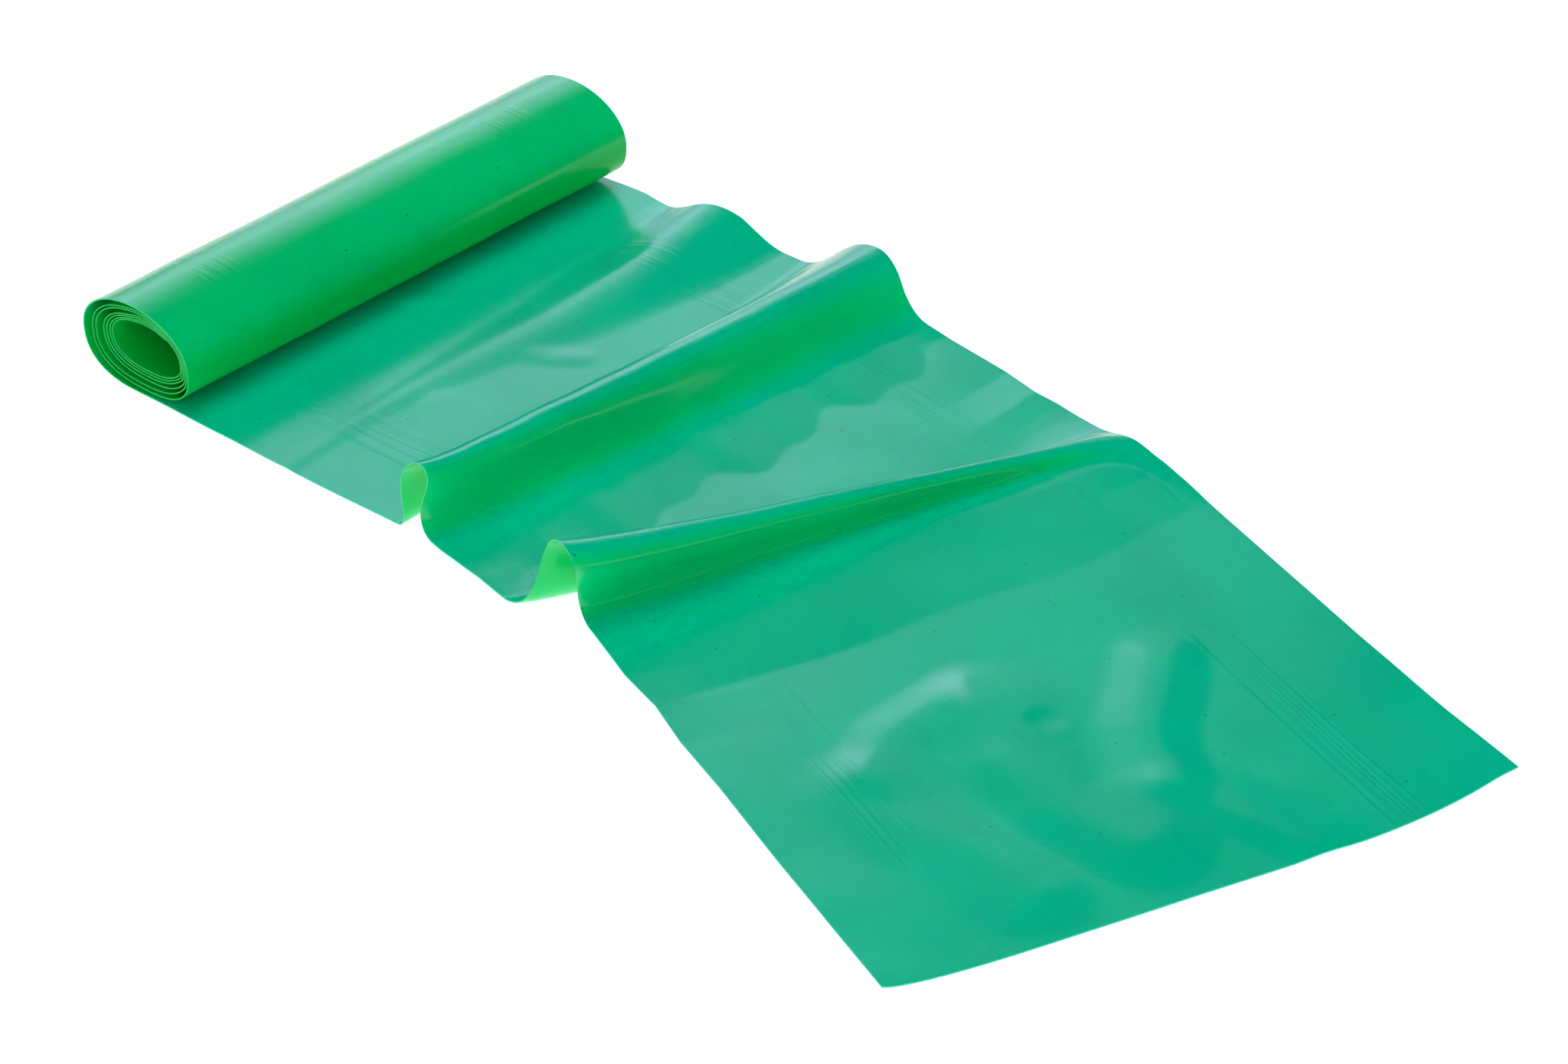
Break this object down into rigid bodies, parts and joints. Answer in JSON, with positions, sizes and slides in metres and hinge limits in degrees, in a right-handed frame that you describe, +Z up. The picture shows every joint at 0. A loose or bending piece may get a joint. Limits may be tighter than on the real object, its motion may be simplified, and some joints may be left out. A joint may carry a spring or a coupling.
{
  "type": "resistance band",
  "caption": "Flat latex exercise band, rolled up at one end and laid out over raised folds at the other, as jointed lengths.",
  "frame": {"origin": "middle of the object's footprint on the floor it lies on", "axes": "+Z up; the roll's axis lies along X; +Y points from the free end towards the roll"},
  "size_m": [0.2042, 0.3464, 0.0242],
  "materials": {
    "latex": "satin translucent green natural rubber latex, 0.35 mm thick"
  },
  "bodies": {
    "rolled_end": {"rolled_end": "latex"},
    "lead_out": {"lead_out": "latex"},
    "middle_rise": {"middle_rise": "latex"},
    "front_rise": {"front_rise": "latex"},
    "tail_length": {"tail_length": "latex"},
    "free_end": {"free_end": "latex"}
  },
  "joints": [
    {"name": "lead_lift", "type": "hinge", "parent": "middle_rise", "child": "lead_out", "pos_m": [0.02654, 0.07761, 0.00035], "axis": [1, 0, 0], "range_deg": [0, 60]},
    {"name": "roll_lift", "type": "hinge", "parent": "lead_out", "child": "rolled_end", "pos_m": [0.02654, 0.13246, 0.00035], "axis": [1, 0, 0], "range_deg": [0, 75]},
    {"name": "front_lift", "type": "hinge", "parent": "middle_rise", "child": "front_rise", "pos_m": [0.02086, 0.02348, 0.00035], "axis": [-0.9871, 0.1599, 0], "range_deg": [0, 60]},
    {"name": "tail_lift", "type": "hinge", "parent": "front_rise", "child": "tail_length", "pos_m": [0.00433, -0.04954, 0.00035], "axis": [-0.9323, 0.3616, 0], "range_deg": [0, 75]},
    {"name": "tail_stretch", "type": "slide", "parent": "tail_length", "child": "free_end", "axis": [-0.3616, -0.9323, 0], "range_m": [0, 0.08], "stiffness_N_per_m": 200}
  ]
}
